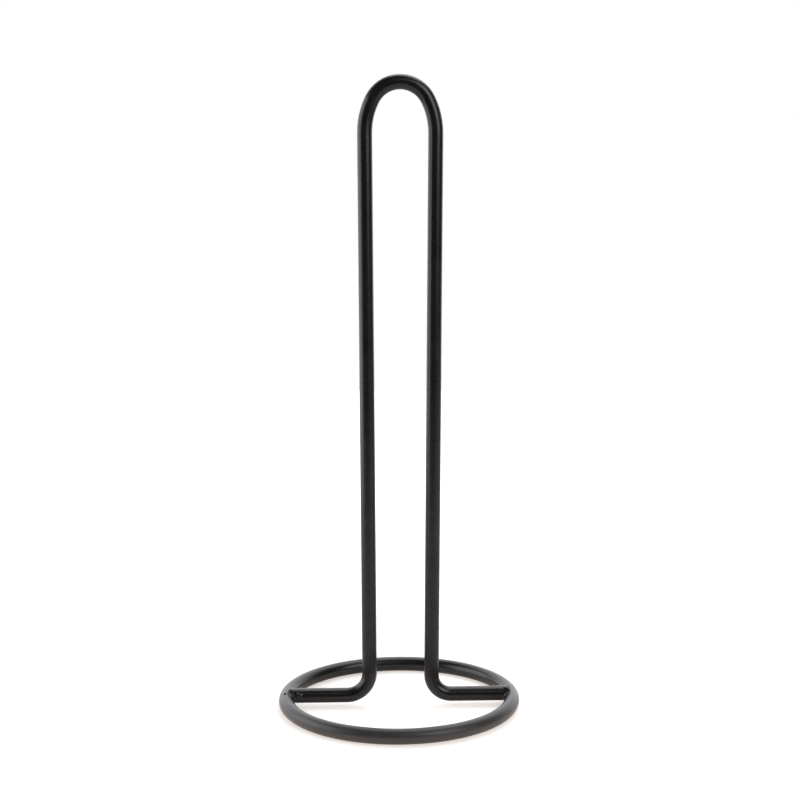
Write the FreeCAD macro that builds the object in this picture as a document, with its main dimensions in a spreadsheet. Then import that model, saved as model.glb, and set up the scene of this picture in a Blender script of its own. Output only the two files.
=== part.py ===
import FreeCAD, Part
import math
import os
import Sketcher
from FreeCAD import Vector

# Free-standing paper towel holder, made of round steel bar, welded and powder coated.
# Frame: the origin is on the counter, under the centre of the base ring, and +Z is up.
# The two legs of the hairpin post stand side by side along X. The roll drops over the post.
# Lengths are in millimetres and angles in degrees. Radii are to the bar's centreline.

DRIVING_DIMENSIONS = {
    "ring_outer_dia": 120.0,
    "ring_bar_dia": 7.4,
    "seam_gap": 4.4,           # between the ring's two ends, before they are welded
    "seam_turn": 3.1,          # from the left foot round to the seam, towards -Y
    "pit_length": 3.4,         # crater along the ring, where the seam's weld run stopped
    "pit_width": 1.3,
    "pit_depth": 1.0,
    "pit_offset": 0.6,         # from the ring's centreline out to the crater
    "post_height": 310.3,      # from the counter to the top of the crown
    "post_bar_dia": 7.3,
    "post_offset": 2.35,       # the crown stands this far off the ring's centre, along +X
    "crown_radius": 14.85,
    "shoulder_radius": 35.6,
    "leg_spacing_top": 33.95,  # between the legs' centrelines, where the shoulders end
    "left_leg_lean": 0.0,      # how far a leg leans in towards the middle on its way down
    "right_leg_lean": 0.65,    # the bends are hand-set, so the two sides differ a little
    "left_bend_radius": 11.3,
    "right_bend_radius": 9.8,
    "foot_clearance": 1.75,    # from the counter to the underside of the feet
    "foot_setback": 1.6,       # from a foot's end to the ring's centreline
    "weld_length": 8.4,
    "weld_width": 9.6,
    "weld_height": 8.4,
    "weld_rise": 0.4,          # the welds are laid from above, so they sit over the foot's axis
    "weld_standoff": 0.7,      # from the weld's centre out to the ring's inner side
}
DERIVED_DIMENSIONS = {
    "ring_radius": "(ring_outer_dia - ring_bar_dia) / 2",
    "ring_axis_height": "ring_bar_dia / 2",
    "seam_angle": "seam_gap / ring_radius * 180 / pi",
    "pit_radius_from_centre": "ring_radius + pit_offset",
    "pit_height": "ring_axis_height + sqrt(ring_axis_height ^ 2 - pit_offset ^ 2)",
    "crown_centre_height": "post_height - post_bar_dia / 2 - crown_radius",
    "foot_axis_height": "foot_clearance + post_bar_dia / 2",
    "foot_end": "ring_radius - foot_setback",
    "weld_centre": "ring_radius - ring_bar_dia / 2 - weld_standoff",
    "weld_centre_height": "foot_axis_height + weld_rise",
}

# A sketch's own numbers for its origin and upright axis, and for the points of an element.
ORIGIN = (-1, 1)
UPRIGHT_AXIS = -2
START, END, CENTRE = 1, 2, 3
NORMAL = Vector(0, 0, 1)

# Turns a torus about +Z so that its seam line, which starts on +X, stays clear of both feet.
AWAY_FROM_FEET = FreeCAD.Rotation(Vector(0, 0, 1), 90)

doc = FreeCAD.newDocument("paper_towel_holder")
sheet = doc.addObject("Spreadsheet::Sheet", "Dimensions")


def fill_sheet():
    contents = {name: str(value) for name, value in DRIVING_DIMENSIONS.items()}
    contents.update({name: "=" + formula for name, formula in DERIVED_DIMENSIONS.items()})
    for row, (name, content) in enumerate(contents.items(), start=1):
        sheet.set(f"A{row}", name)
        sheet.set(f"B{row}", content)
        sheet.setAlias(f"B{row}", name)
    doc.recompute()


def size(name):
    """The value of one cell of the sheet."""
    return float(getattr(sheet, name))


def make_body(name):
    body = doc.addObject("PartDesign::Body", name)
    body.Label = name
    return body


def sketch_on(body, plane_role, name):
    """A new sketch on one of the body's own origin planes."""
    sketch = body.newObject("Sketcher::SketchObject", name)
    planes = {feature.Role: feature for feature in body.Origin.OriginFeatures}
    sketch.AttachmentSupport = [(planes[plane_role], "")]
    sketch.MapMode = "FlatFace"
    return sketch


def dimension(sketch, name, formula, kind, *where_and_value):
    """Add a dimension to a sketch and bind it to a formula of the sheet's cells."""
    index = sketch.addConstraint(Sketcher.Constraint(kind, *where_and_value))
    sketch.renameConstraint(index, name)
    sketch.setExpression("Constraints." + name, formula)


def bind(thing, **formulas):
    """Bind properties to formulas. x, y and z mean the thing's place."""
    for name, formula in formulas.items():
        path = "Placement.Base." + name if name in "xyz" else name
        thing.setExpression(path, formula)


def polar(radius, angle):
    return Vector(radius * math.cos(math.radians(angle)), radius * math.sin(math.radians(angle)), 0)


def bar_section(body, plane_role, bar_dia, across, height):
    """A sketch of the bar's round section. across and height are where its centre is."""
    sketch = sketch_on(body, plane_role, body.Name + "_section")
    dia = size(bar_dia)
    circle = sketch.addGeometry(Part.Circle(Vector(1, 1, 0), NORMAL, dia / 2))
    dimension(sketch, "bar_dia", "Dimensions." + bar_dia, "Diameter", circle, dia)
    dimension(sketch, "centre_height", height, "DistanceY", *ORIGIN, circle, CENTRE, 1)
    if across:
        dimension(sketch, "centre_across", across, "DistanceX", *ORIGIN, circle, CENTRE, 1)
    else:
        sketch.addConstraint(Sketcher.Constraint("PointOnObject", circle, CENTRE, UPRIGHT_AXIS))
    return sketch


def make_rolled_bar(name, side, angle):
    """Bar rolled about the ring's axis, spread evenly about its +X side (1) or -X side (-1).

    The whole is then turned about the axis by the seam's turn.
    """
    body = make_body(name)
    section = bar_section(body, "XZ_Plane", "ring_bar_dia", f"{side} * Dimensions.ring_radius",
                          "Dimensions.ring_axis_height")
    roll = body.newObject("PartDesign::Revolution", name + "_roll")
    roll.Profile = section
    roll.ReferenceAxis = (section, ["V_Axis"])
    roll.Midplane = True
    bind(roll, Angle=angle)
    body.setExpression("Placement.Rotation.Angle", "Dimensions.seam_turn")
    return body


def cut_room_for_ring(body, x="0"):
    """Cut the whole ring out of a body, so that the body fits against the ring's bar."""
    room = body.newObject("PartDesign::SubtractiveTorus", body.Name + "_ring_room")
    room.Placement.Rotation = AWAY_FROM_FEET
    bind(room, Radius1="Dimensions.ring_radius", Radius2="Dimensions.ring_axis_height",
         x=x, z="Dimensions.ring_axis_height")


def make_base_ring():
    """The base: one bar rolled into a flat ring, open by the seam gap near its -X side."""
    return make_rolled_bar("base_ring", 1, "360 - Dimensions.seam_angle")


def make_ring_seam_weld():
    """Weld metal that fills the ring's seam, ground flush, with a long crater near its top."""
    body = make_rolled_bar("ring_seam_weld", -1, "Dimensions.seam_angle")
    pit = body.newObject("PartDesign::SubtractiveEllipsoid", "seam_pit")
    bind(pit, Radius1="Dimensions.pit_depth", Radius2="Dimensions.pit_width / 2",
         Radius3="Dimensions.pit_length / 2", x="-Dimensions.pit_radius_from_centre",
         z="Dimensions.pit_height")
    return body


def half_centreline(side):
    """One half of the post's centreline, on the +X side (1) or the -X side (-1).

    Gives the foot, bend, leg and shoulder, each with the ends where the run from the foot's
    tip up to the crown enters and leaves it, and the angle where the crown begins.
    """
    name = "left" if side < 0 else "right"
    bend_radius = size(name + "_bend_radius")
    lean = size(name + "_leg_lean")
    crown_radius = size("crown_radius")
    shoulder_radius = size("shoulder_radius")
    foot_height = size("foot_axis_height")

    # The +X half. A sketch's first axis is the post's X, and its second is Z.
    overlap = shoulder_radius * math.cos(math.radians(lean)) - size("leg_spacing_top") / 2
    crown_side = 90 - math.degrees(math.asin(overlap / (shoulder_radius - crown_radius)))
    crown_centre = Vector(0, size("crown_centre_height"), 0)
    shoulder_centre = crown_centre + polar(crown_radius - shoulder_radius, crown_side)
    leg_top = shoulder_centre + polar(shoulder_radius, -lean)
    leg_drop = leg_top.y - foot_height - bend_radius * (1 + math.sin(math.radians(lean)))
    leg_bottom = leg_top - Vector(leg_drop * math.tan(math.radians(lean)), leg_drop, 0)
    bend_centre = leg_bottom + polar(bend_radius, -lean)
    foot_start = Vector(bend_centre.x, foot_height, 0)
    foot_tip = Vector(size("foot_end"), foot_height, 0)

    def line(start, end):
        return Part.LineSegment(Vector(side * start.x, start.y, 0), Vector(side * end.x, end.y, 0))

    def arc(centre, radius, from_angle, to_angle):
        if side < 0:
            from_angle, to_angle = 180 - to_angle, 180 - from_angle
        circle = Part.Circle(Vector(side * centre.x, centre.y, 0), NORMAL, radius)
        return Part.ArcOfCircle(circle, math.radians(from_angle), math.radians(to_angle))

    enter, leave = (END, START) if side > 0 else (START, END)
    elements = [
        (line(foot_tip, foot_start), START, END),
        (arc(bend_centre, bend_radius, 180 - lean, 270), enter, leave),
        (line(leg_bottom, leg_top), START, END),
        (arc(shoulder_centre, shoulder_radius, -lean, crown_side), leave, enter),
    ]
    return elements, crown_side


def post_centreline(body):
    """The bent bar's centreline, from the left foot's tip over the crown to the right foot's."""
    left_half, left_crown_side = half_centreline(-1)
    right_half, right_crown_side = half_centreline(1)
    crown_circle = Part.Circle(Vector(0, size("crown_centre_height"), 0), NORMAL, size("crown_radius"))
    crown_arc = Part.ArcOfCircle(
        crown_circle, math.radians(right_crown_side), math.radians(180 - left_crown_side))
    descent = [(shape, leave, enter) for shape, enter, leave in reversed(right_half)]

    sketch = sketch_on(body, "XZ_Plane", "post_centreline")
    run = [(sketch.addGeometry(shape), enter, leave)
           for shape, enter, leave in [*left_half, (crown_arc, END, START), *descent]]
    for (before, enter, leave), (after, next_enter, next_leave) in zip(run, run[1:]):
        sketch.addConstraint(Sketcher.Constraint("Tangent", before, leave, after, next_enter))

    numbers = [number for number, enter, leave in run]
    crown = numbers[4]
    sketch.addConstraint(Sketcher.Constraint("PointOnObject", crown, CENTRE, UPRIGHT_AXIS))
    dimension(sketch, "crown_height", "Dimensions.crown_centre_height",
              "DistanceY", *ORIGIN, crown, CENTRE, size("crown_centre_height"))
    dimension(sketch, "crown_radius", "Dimensions.crown_radius",
              "Radius", crown, size("crown_radius"))
    halves = [("left", -1, *numbers[:4]), ("right", 1, *numbers[:4:-1])]
    for name, side, foot, bend, leg, shoulder in halves:
        sketch.addConstraint(Sketcher.Constraint("Horizontal", foot))
        dimension(sketch, name + "_foot_height", "Dimensions.foot_axis_height",
                  "DistanceY", *ORIGIN, foot, START, size("foot_axis_height"))
        dimension(sketch, name + "_foot_tip", f"{side} * Dimensions.foot_end - Dimensions.post_offset",
                  "DistanceX", *ORIGIN, foot, START, side * size("foot_end"))
        dimension(sketch, name + "_bend_radius", f"Dimensions.{name}_bend_radius",
                  "Radius", bend, size(name + "_bend_radius"))
        dimension(sketch, name + "_shoulder_radius", "Dimensions.shoulder_radius",
                  "Radius", shoulder, size("shoulder_radius"))
        dimension(sketch, name + "_leg_top", f"{side} * Dimensions.leg_spacing_top / 2",
                  "DistanceX", *ORIGIN, leg, END, side * size("leg_spacing_top") / 2)
        dimension(sketch, name + "_leg_angle", f"90 - {side} * Dimensions.{name}_leg_lean",
                  "Angle", leg, math.radians(90 - side * size(name + "_leg_lean")))
    return sketch


def make_hairpin_post():
    """The post: one bar bent into a tall hairpin, its two feet turned out to the ring."""
    body = make_body("hairpin_post")
    path = post_centreline(body)
    section = bar_section(body, "YZ_Plane", "post_bar_dia", None, "Dimensions.foot_axis_height")
    section.setExpression("AttachmentOffset.Base.z",
                          "-Dimensions.foot_end - Dimensions.post_offset")
    doc.recompute()
    bar = body.newObject("PartDesign::AdditivePipe", "post_bar")
    bar.Profile = section
    bar.Spine = (path, [f"Edge{number}" for number in range(1, path.GeometryCount + 1)])
    cut_room_for_ring(body, x="-Dimensions.post_offset")
    bind(body, x="Dimensions.post_offset")
    return body


def make_foot_weld(name, turn):
    """A foot's fillet weld: a bead round the foot's end, against the ring's inner side and top.

    It is made at the ring's -X side and turned about +Z to its own foot.
    """
    body = make_body(name)
    bead = body.newObject("PartDesign::AdditiveEllipsoid", name + "_bead")
    bind(bead, Radius1="Dimensions.weld_height / 2", Radius2="Dimensions.weld_length / 2",
         Radius3="Dimensions.weld_width / 2", x="-Dimensions.weld_centre",
         z="Dimensions.weld_centre_height")
    cut_room_for_ring(body)
    room = body.newObject("PartDesign::SubtractiveCylinder", name + "_foot_room")
    room.Placement.Rotation = FreeCAD.Rotation(Vector(0, 0, 1), Vector(1, 0, 0))
    bind(room, Radius="Dimensions.post_bar_dia / 2", Height="2 * Dimensions.weld_length",
         x="-Dimensions.foot_end", z="Dimensions.foot_axis_height")
    body.Placement.Rotation = FreeCAD.Rotation(Vector(0, 0, 1), turn)
    return body


def check_and_export(sub_parts):
    """Stop if anything failed, and otherwise write each sub-part to its own file."""
    doc.recompute()
    for item in doc.Objects:
        if {"Invalid", "Error"} & set(item.State):
            raise RuntimeError(f"{item.Name} failed: {item.State}")
        if item.TypeId == "Sketcher::SketchObject" and not item.FullyConstrained:
            raise RuntimeError(f"{item.Name} is not fully constrained")
    for body in sub_parts:
        if body.Shape.isNull() or not body.Shape.isValid() or len(body.Shape.Solids) != 1:
            raise RuntimeError(f"{body.Label} is not one valid solid")
    os.makedirs("parts", exist_ok=True)
    for body in sub_parts:
        body.Shape.exportStep(f"parts/{body.Label}.step")


fill_sheet()
check_and_export([
    make_base_ring(),
    make_ring_seam_weld(),
    make_hairpin_post(),
    make_foot_weld("left_foot_weld", 0),
    make_foot_weld("right_foot_weld", 180),
])
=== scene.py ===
import math
import bmesh
import bpy
from mathutils import Matrix, Vector


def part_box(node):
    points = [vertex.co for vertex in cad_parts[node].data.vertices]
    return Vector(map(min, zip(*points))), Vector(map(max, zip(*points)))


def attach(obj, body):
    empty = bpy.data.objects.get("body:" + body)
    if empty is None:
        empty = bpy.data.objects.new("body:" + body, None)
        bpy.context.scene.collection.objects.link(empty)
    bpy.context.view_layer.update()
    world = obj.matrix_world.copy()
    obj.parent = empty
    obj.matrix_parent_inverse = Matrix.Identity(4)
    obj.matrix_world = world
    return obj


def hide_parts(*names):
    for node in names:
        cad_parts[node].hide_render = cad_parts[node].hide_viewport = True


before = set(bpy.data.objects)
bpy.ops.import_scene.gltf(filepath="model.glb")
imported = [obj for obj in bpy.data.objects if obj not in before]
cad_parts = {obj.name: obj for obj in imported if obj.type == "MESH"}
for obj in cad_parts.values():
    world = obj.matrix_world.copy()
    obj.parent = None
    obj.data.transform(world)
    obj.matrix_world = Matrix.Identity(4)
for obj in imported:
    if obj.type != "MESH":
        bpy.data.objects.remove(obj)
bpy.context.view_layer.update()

# A black powder-coated paper towel holder on a white studio floor. Everything is in metres, in the
# CAD model's frame: the origin is on the floor under the ring's centre, and +Z is up.
# Azimuths are in degrees round the object: 0 is the camera's side (-Y), and 90 is the right (+X).

scene = bpy.context.scene
MM = 0.001

# The steel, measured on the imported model.
ring_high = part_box("base_ring")[1]
post_low, post_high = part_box("hairpin_post")
RING_BAR_RADIUS = ring_high[2] / 2
RING_RADIUS = ring_high[0] - RING_BAR_RADIUS
POST_BAR_RADIUS = (post_high[1] - post_low[1]) / 2
FOOT_AXIS_HEIGHT = post_low[2] + POST_BAR_RADIUS
FOOT_END = post_high[0]

# Weld beads. "Outward" is the distance from the ring's centre plane along X, on either side.
BEAD_TOE = FOOT_END - 7.0 * MM       # where the bead starts on the foot
BEAD_TOE_RAMP = 1.1 * MM             # how far it takes to reach its thickness
BEAD_OVER, BEAD_UNDER = 0.14 * MM, 0.05 * MM     # thickness over and under the foot
BEAD_END_CAP = 0.5 * MM              # metal over the foot's end
BEAD_END_ROUNDING = 1.0 * MM         # how far that end is rounded over
FILLET_OVER, FILLET_UNDER = 3.0 * MM, 1.2 * MM   # reach of the fillet between foot and ring
BEAD_SINK = 0.07 * MM                # where there is no bead, its mesh runs this far inside the steel
BEAD_MIDDLE = Vector((FOOT_END - 0.9 * MM, 0.0, FOOT_AXIS_HEIGHT - 0.5 * MM))
BEAD_TRIM_MIDDLE = Vector((FOOT_END - 3.3 * MM, 0.0, FOOT_AXIS_HEIGHT))
BEAD_TRIM_RADII = Vector((4.7 * MM, 7.5 * MM, 7.0 * MM))
BEAD_STEP = 0.25 * MM                # how finely the bead's surface is searched for
BEAD_HALVINGS = 8                    # how often the last step is halved
BEAD_SUBDIVISIONS = 6                # of the sphere that is pushed out to the surface
# Lumps on each bead: mm outward from its toe, degrees round the foot from its top towards the
# camera's side, height in mm (a dip is negative) and radius in mm.
LEFT_LUMPS = [
    # in front, a ridge that rises towards the ring
    (1.2, 70, 0.25, 0.9), (2.2, 70, 0.50, 0.9), (3.2, 71, 0.85, 0.9),
    # round the ridge's high end
    (5.9, 80, 0.26, 0.7), (4.3, 128, 0.18, 0.6), (5.4, 32, 0.34, 0.8),
    # behind
    (3.6, -60, 0.25, 1.2), (1.6, -40, 0.18, 1.1), (5.0, -95, 0.20, 1.0),
]
RIGHT_LUMPS = [
    # by the ring, from near the top round to the front
    (5.4, 22, 0.26, 0.7), (6.3, 33, 0.26, 0.7), (7.2, 45, 0.24, 0.7), (6.1, 64, 0.16, 0.6),
    # dips over those
    (5.9, 2, -0.36, 0.6), (6.8, 9, -0.48, 0.6), (7.6, 17, -0.48, 0.6), (8.3, 27, -0.36, 0.6),
    # in front
    (3.0, 75, 0.12, 1.4), (4.6, 108, 0.12, 0.9),
    # behind
    (3.4, -70, 0.26, 1.2), (1.5, -50, 0.16, 1.0), (5.3, -100, 0.18, 1.0),
]

# Powder coat.
COAT_DARK, COAT_LIGHT = (0.005, 0.005, 0.0055, 1.0), (0.010, 0.0095, 0.009, 1.0)
# Painted light: a lighter base colour for the ring's front, standing in for extra light there
COAT_PAINTED_FRONT_LIGHT = (0.036, 0.034, 0.034, 1.0)
COAT_ROUGHNESS_LOW, COAT_ROUGHNESS_HIGH = 0.24, 0.31
DULL_ROUGHNESS = 0.11                # added where the coat is dull
PAINTED_LIGHT_AND_DULL_FROM, PAINTED_LIGHT_AND_DULL_TO = 0.0, -0.045     # the ring's front is duller and gets painted light (a lighter base colour), growing over this stretch of Y
SHADE_SCALE, GLOSS_SCALE = 160, 90   # noise scales are per metre
PEEL_SCALE, PEEL_DEPTH = 700, 0.010 * MM         # the orange peel
GRAIN_SCALE, GRAIN_DEPTH = 3200, 0.0025 * MM     # the finer grain on it

# Studio.
OBJECT_MIDDLE = Vector((0.0, 0.0, 0.15))
FLOOR_LEFT, FLOOR_RIGHT = -0.6, 1.2
FLOOR_FRONT, FLOOR_BACK = -0.50, 1.2
FLOOR_COLOR = (0.76, 0.75, 0.75, 1.0)
# The floor's own light as the camera sees it, weaker round the object so that its shadow shows.
FLOOR_GLOW = (1.0, 0.93, 0.87, 1.0)
FLOOR_GLOW_NEAR, FLOOR_GLOW_FAR = 0.56, 1.0
FLOOR_GLOW_START, FLOOR_GLOW_END = 0.1, 0.5                 # how far from the middle it changes
# The floor's own light on the object: a step under the ring's bar, and none further out.
FLOOR_BOUNCE = (1.0, 0.80, 0.65, 1.0)
FLOOR_BOUNCE_INSIDE, FLOOR_BOUNCE_OUTSIDE = 0.15, 0.60      # inside the ring and close outside it
BOUNCE_STEP_START, BOUNCE_STEP_END = 0.05, 0.06
BOUNCE_FADE_START, BOUNCE_FADE_END = 0.07, 0.10
# The room's light on the object, by how far back (+Y) it comes from: 0 is the side, and 1 is behind.
SKY_COLOR = (0.97, 0.98, 1.02, 1.0)
SKY_START, SKY_END = 0.15, 0.75
SKY_FRONT_STRENGTH, SKY_BACK_STRENGTH = 0.05, 1.7


def add_camera():
    """Almost square to the front, a little lower than the post's top, and looking slightly down."""
    azimuth, elevation = math.radians(-1.21), math.radians(7.89)
    roll = math.radians(-0.366)
    distance = 0.7739
    aim = Vector((0.00144, 0.0, 0.1541))
    back = Vector((math.sin(azimuth) * math.cos(elevation),
                   -math.cos(azimuth) * math.cos(elevation),
                   math.sin(elevation)))
    camera = bpy.data.objects.new("camera", bpy.data.cameras.new("camera"))
    scene.collection.objects.link(camera)
    camera.data.lens = 71.4
    camera.data.clip_start = 0.01
    turn = (-back).to_track_quat("-Z", "Y").to_matrix().to_4x4()
    camera.matrix_world = (Matrix.Translation(aim + distance * back) @ turn
                           @ Matrix.Rotation(roll, 4, "Z"))
    scene.camera = camera


def noise(nodes, links, where, scale, detail):
    """Noise in the object's own coordinates."""
    texture = nodes.new("ShaderNodeTexNoise")
    texture.inputs["Scale"].default_value = scale
    texture.inputs["Detail"].default_value = detail
    links.new(where.outputs["Object"], texture.inputs["Vector"])
    return texture.outputs["Fac"]


def bump(nodes, links, height, depth, under=None):
    """A relief of some depth in metres, laid over another one if given."""
    node = nodes.new("ShaderNodeBump")
    node.inputs["Strength"].default_value = 1.0
    node.inputs["Distance"].default_value = depth
    links.new(height, node.inputs["Height"])
    if under:
        links.new(under, node.inputs["Normal"])
    return node.outputs["Normal"]


def powder_coat():
    """Satin black powder coat: a soft orange peel, a finer grain, slightly uneven gloss, and a rougher
    ring front with painted light on it (a lighter base colour).
    """
    material = bpy.data.materials.new("powder_coat")
    material.use_nodes = True
    nodes, links = material.node_tree.nodes, material.node_tree.links
    shader = nodes["Principled BSDF"]
    shader.inputs["IOR"].default_value = 1.5
    where = nodes.new("ShaderNodeTexCoord")

    shade = nodes.new("ShaderNodeValToRGB")
    shade.color_ramp.elements[0].position, shade.color_ramp.elements[1].position = 0.35, 0.65
    shade.color_ramp.elements[0].color, shade.color_ramp.elements[1].color = COAT_DARK, COAT_LIGHT
    links.new(noise(nodes, links, where, SHADE_SCALE, 4), shade.inputs["Fac"])

    # Towards the front (-Y) the coat gets rougher, and its base colour is lifted as painted light on
    # the ring's front
    split = nodes.new("ShaderNodeSeparateXYZ")
    links.new(where.outputs["Object"], split.inputs[0])
    painted_light_and_dull = nodes.new("ShaderNodeMapRange")
    painted_light_and_dull.interpolation_type = "SMOOTHSTEP"
    painted_light_and_dull.inputs["From Min"].default_value = PAINTED_LIGHT_AND_DULL_FROM
    painted_light_and_dull.inputs["From Max"].default_value = PAINTED_LIGHT_AND_DULL_TO
    links.new(split.outputs["Y"], painted_light_and_dull.inputs["Value"])
    # Painted light: the lighter base colour mixed in on the ring's front
    painted_front_light = nodes.new("ShaderNodeMix")
    painted_front_light.data_type = "RGBA"
    painted_front_light.inputs["B"].default_value = COAT_PAINTED_FRONT_LIGHT
    links.new(painted_light_and_dull.outputs["Result"], painted_front_light.inputs["Factor"])
    links.new(shade.outputs["Color"], painted_front_light.inputs["A"])
    links.new(painted_front_light.outputs["Result"], shader.inputs["Base Color"])

    gloss = nodes.new("ShaderNodeMapRange")
    gloss.inputs["From Min"].default_value = 0.3
    gloss.inputs["From Max"].default_value = 0.7
    gloss.inputs["To Min"].default_value = COAT_ROUGHNESS_LOW
    gloss.inputs["To Max"].default_value = COAT_ROUGHNESS_HIGH
    links.new(noise(nodes, links, where, GLOSS_SCALE, 5), gloss.inputs["Value"])
    duller = nodes.new("ShaderNodeMath")
    duller.operation = "MULTIPLY_ADD"
    duller.inputs[1].default_value = DULL_ROUGHNESS
    links.new(painted_light_and_dull.outputs["Result"], duller.inputs[0])
    links.new(gloss.outputs["Result"], duller.inputs[2])
    links.new(duller.outputs[0], shader.inputs["Roughness"])

    orange_peel = bump(nodes, links, noise(nodes, links, where, PEEL_SCALE, 2), PEEL_DEPTH)
    grain = bump(nodes, links, noise(nodes, links, where, GRAIN_SCALE, 2), GRAIN_DEPTH, orange_peel)
    links.new(grain, shader.inputs["Normal"])
    return material


def smooth_min(a, b, reach):
    """The smaller of two distances, with the crease between their surfaces filled by a fillet."""
    close = max(reach - abs(a - b), 0.0) / reach
    return min(a, b) - close * close * reach / 4


def ramp(start, length, value):
    """Rises smoothly from 0 to 1 over a length."""
    t = min(max((value - start) / length, 0.0), 1.0)
    return t * t * (3 - 2 * t)


def lump_places(lumps):
    """Each lump's middle on the foot's surface, with its height and radius."""
    places = []
    for outward, degrees, height, radius in lumps:
        angle = math.radians(degrees)
        middle = Vector((BEAD_TOE + outward * MM, -POST_BAR_RADIUS * math.sin(angle),
                         FOOT_AXIS_HEIGHT + POST_BAR_RADIUS * math.cos(angle)))
        places.append((middle, height * MM, radius * MM))
    return places


def outside_bead(point, lumps):
    """How far a point is outside the joined foot, ring and bead. Negative is inside."""
    across = math.hypot(point.y, point.z - FOOT_AXIS_HEIGHT)
    upward = 0.5 + 0.5 * (point.z - FOOT_AXIS_HEIGHT) / max(across, MM)
    thickness = BEAD_UNDER + (BEAD_OVER - BEAD_UNDER) * upward
    risen = ramp(BEAD_TOE, BEAD_TOE_RAMP, point.x)
    thickness *= risen
    foot = -smooth_min(POST_BAR_RADIUS + thickness - across, FOOT_END + BEAD_END_CAP - point.x,
                       BEAD_END_ROUNDING)
    ring = math.hypot(math.hypot(point.x, point.y) - RING_RADIUS, point.z - RING_BAR_RADIUS)
    fillet = FILLET_UNDER + (FILLET_OVER - FILLET_UNDER) * upward
    joint = smooth_min(foot, ring - RING_BAR_RADIUS, fillet) + BEAD_SINK
    for middle, height, radius in lumps:
        joint -= risen * height * math.exp(-((point - middle).length / radius) ** 2)
    offset = point - BEAD_TRIM_MIDDLE
    trim = Vector((offset.x / BEAD_TRIM_RADII.x, offset.y / BEAD_TRIM_RADII.y,
                   offset.z / BEAD_TRIM_RADII.z)).length
    return max(joint, (trim - 1) * BEAD_TRIM_RADII.x)


def bead_surface(direction, lumps):
    """The bead's surface in one direction from its middle."""
    far = BEAD_STEP
    while outside_bead(BEAD_MIDDLE + direction * far, lumps) < 0:
        far += BEAD_STEP
    near = far - BEAD_STEP
    for halving in range(BEAD_HALVINGS):
        middle = (near + far) / 2
        if outside_bead(BEAD_MIDDLE + direction * middle, lumps) < 0:
            near = middle
        else:
            far = middle
    return BEAD_MIDDLE + direction * far


def add_weld_bead(name, node, side, lumps, coat):
    """The bead at one foot: side is -1 for the left foot and 1 for the right."""
    places = lump_places(lumps)
    mesh = bpy.data.meshes.new(name)
    shape = bmesh.new()
    bmesh.ops.create_icosphere(shape, subdivisions=BEAD_SUBDIVISIONS, radius=1.0)
    for vertex in shape.verts:
        place = bead_surface(vertex.co.normalized(), places)
        vertex.co = Vector((side * place.x, place.y, place.z))
    bmesh.ops.recalc_face_normals(shape, faces=shape.faces)
    for face in shape.faces:
        face.smooth = True
    shape.to_mesh(mesh)
    shape.free()
    mesh.materials.append(coat)
    bead = bpy.data.objects.new(name, mesh)
    scene.collection.objects.link(bead)
    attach(bead, "root")
    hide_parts(node)


def add_softbox(name, azimuth, elevation, distance, width, height, radiance, color=(1, 1, 1)):
    """A rectangular light that faces the object."""
    a, e = math.radians(azimuth), math.radians(elevation)
    toward = Vector((math.sin(a) * math.cos(e), -math.cos(a) * math.cos(e), math.sin(e)))
    light = bpy.data.lights.new(name, "AREA")
    light.shape = "RECTANGLE"
    light.size, light.size_y = width, height
    light.energy = radiance * math.pi * width * height
    light.color = color
    lamp = bpy.data.objects.new(name, light)
    lamp.matrix_world = (Matrix.Translation(OBJECT_MIDDLE + distance * toward)
                         @ toward.to_track_quat("Z", "Y").to_matrix().to_4x4())
    scene.collection.objects.link(lamp)


def fade(nodes, links, distance, start, end, near, far):
    """A value that goes from near to far between two distances."""
    node = nodes.new("ShaderNodeMapRange")
    node.inputs["From Min"].default_value = start
    node.inputs["From Max"].default_value = end
    node.inputs["To Min"].default_value = near
    node.inputs["To Max"].default_value = far
    links.new(distance.outputs["Value"], node.inputs["Value"])
    return node.outputs["Result"]


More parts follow.
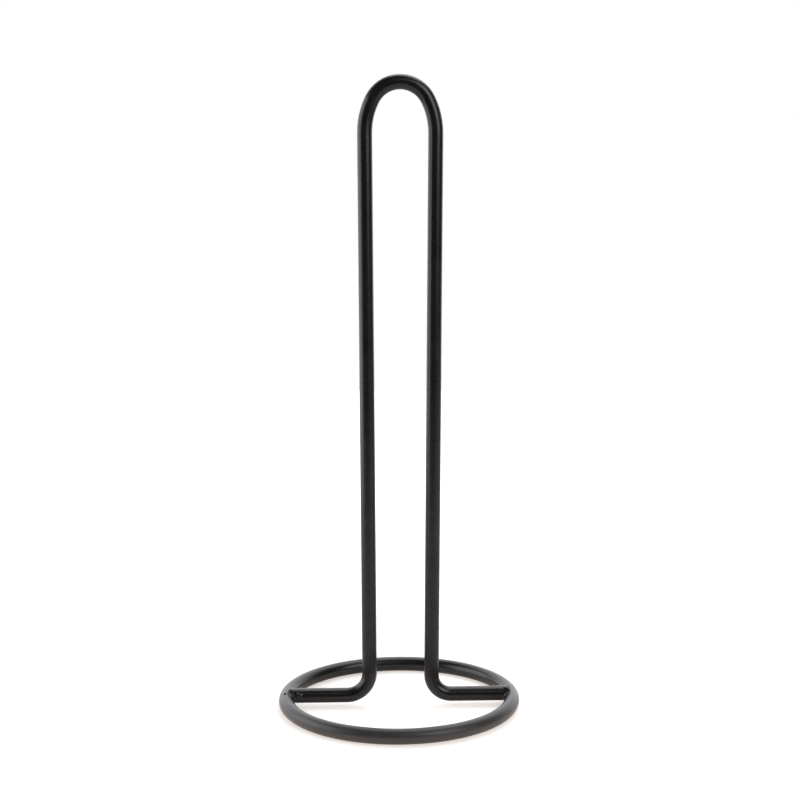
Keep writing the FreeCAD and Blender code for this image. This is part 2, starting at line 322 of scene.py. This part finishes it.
def add_floor():
    """A white table top that lifts itself to pure white, so that only shadows show on it."""
    mesh = bpy.data.meshes.new("floor")
    mesh.from_pydata([(FLOOR_LEFT, FLOOR_FRONT, 0), (FLOOR_RIGHT, FLOOR_FRONT, 0),
                      (FLOOR_RIGHT, FLOOR_BACK, 0), (FLOOR_LEFT, FLOOR_BACK, 0)], [], [(0, 1, 2, 3)])
    floor = bpy.data.objects.new("floor", mesh)
    scene.collection.objects.link(floor)
    material = bpy.data.materials.new("floor")
    material.use_nodes = True
    nodes, links = material.node_tree.nodes, material.node_tree.links
    shader = nodes["Principled BSDF"]
    shader.inputs["Base Color"].default_value = FLOOR_COLOR
    shader.inputs["Roughness"].default_value = 1.0
    shader.inputs["Specular IOR Level"].default_value = 0.0

    where = nodes.new("ShaderNodeTexCoord")
    distance = nodes.new("ShaderNodeVectorMath")
    distance.operation = "LENGTH"
    links.new(where.outputs["Object"], distance.inputs[0])
    rays = nodes.new("ShaderNodeLightPath")
    strength = nodes.new("ShaderNodeMix")
    links.new(rays.outputs["Is Camera Ray"], strength.inputs["Factor"])
    bounce = nodes.new("ShaderNodeMath")
    bounce.operation = "MULTIPLY"
    step = fade(nodes, links, distance, BOUNCE_STEP_START, BOUNCE_STEP_END,
                FLOOR_BOUNCE_INSIDE, FLOOR_BOUNCE_OUTSIDE)
    links.new(step, bounce.inputs[0])
    links.new(fade(nodes, links, distance, BOUNCE_FADE_START, BOUNCE_FADE_END, 1.0, 0.0),
              bounce.inputs[1])
    links.new(bounce.outputs[0], strength.inputs["A"])
    glow = fade(nodes, links, distance, FLOOR_GLOW_START, FLOOR_GLOW_END,
                FLOOR_GLOW_NEAR, FLOOR_GLOW_FAR)
    links.new(glow, strength.inputs["B"])
    links.new(strength.outputs["Result"], shader.inputs["Emission Strength"])
    tint = nodes.new("ShaderNodeMix")
    tint.data_type = "RGBA"
    tint.inputs["A"].default_value = FLOOR_BOUNCE
    tint.inputs["B"].default_value = FLOOR_GLOW
    links.new(rays.outputs["Is Camera Ray"], tint.inputs["Factor"])
    links.new(tint.outputs["Result"], shader.inputs["Emission Color"])
    mesh.materials.append(material)


def light_world():
    """White where the camera looks past the object; for the object, white behind and dark in front."""
    world = bpy.data.worlds.new("studio")
    world.use_nodes = True
    nodes, links = world.node_tree.nodes, world.node_tree.links
    where = nodes.new("ShaderNodeTexCoord")
    split = nodes.new("ShaderNodeSeparateXYZ")
    links.new(where.outputs["Generated"], split.inputs[0])
    backdrop = nodes.new("ShaderNodeMapRange")
    backdrop.interpolation_type = "SMOOTHSTEP"
    backdrop.inputs["From Min"].default_value = SKY_START
    backdrop.inputs["From Max"].default_value = SKY_END
    backdrop.inputs["To Min"].default_value = SKY_FRONT_STRENGTH
    backdrop.inputs["To Max"].default_value = SKY_BACK_STRENGTH
    links.new(split.outputs["Y"], backdrop.inputs["Value"])
    room = nodes["Background"]
    room.inputs["Color"].default_value = SKY_COLOR
    links.new(backdrop.outputs["Result"], room.inputs["Strength"])
    white = nodes.new("ShaderNodeBackground")
    white.inputs["Color"].default_value = (1, 1, 1, 1)
    rays = nodes.new("ShaderNodeLightPath")
    either = nodes.new("ShaderNodeMixShader")
    links.new(rays.outputs["Is Camera Ray"], either.inputs["Fac"])
    links.new(room.outputs[0], either.inputs[1])
    links.new(white.outputs[0], either.inputs[2])
    links.new(either.outputs[0], nodes["World Output"].inputs["Surface"])
    scene.world = world


add_camera()
coat = powder_coat()
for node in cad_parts.values():
    for slot in node.material_slots:
        slot.material = coat
add_weld_bead("left_weld_bead", "left_foot_weld", -1, LEFT_LUMPS, coat)
add_weld_bead("right_weld_bead", "right_foot_weld", 1, RIGHT_LUMPS, coat)
add_floor()
add_softbox("left_softbox", azimuth=-90, elevation=7, distance=0.85,
            width=0.84, height=1.0, radiance=2.4)
add_softbox("right_softbox", azimuth=44, elevation=28, distance=1.2,
            width=0.75, height=0.95, radiance=2.75)
add_softbox("top_softbox", azimuth=150, elevation=68, distance=1.2,
            width=1.0, height=0.8, radiance=2.1, color=(0.98, 0.98, 1.02))
add_softbox("front_softbox", azimuth=12, elevation=42, distance=1.2,
            width=0.6, height=0.45, radiance=0.45)
light_world()
scene.view_settings.view_transform = "Standard"
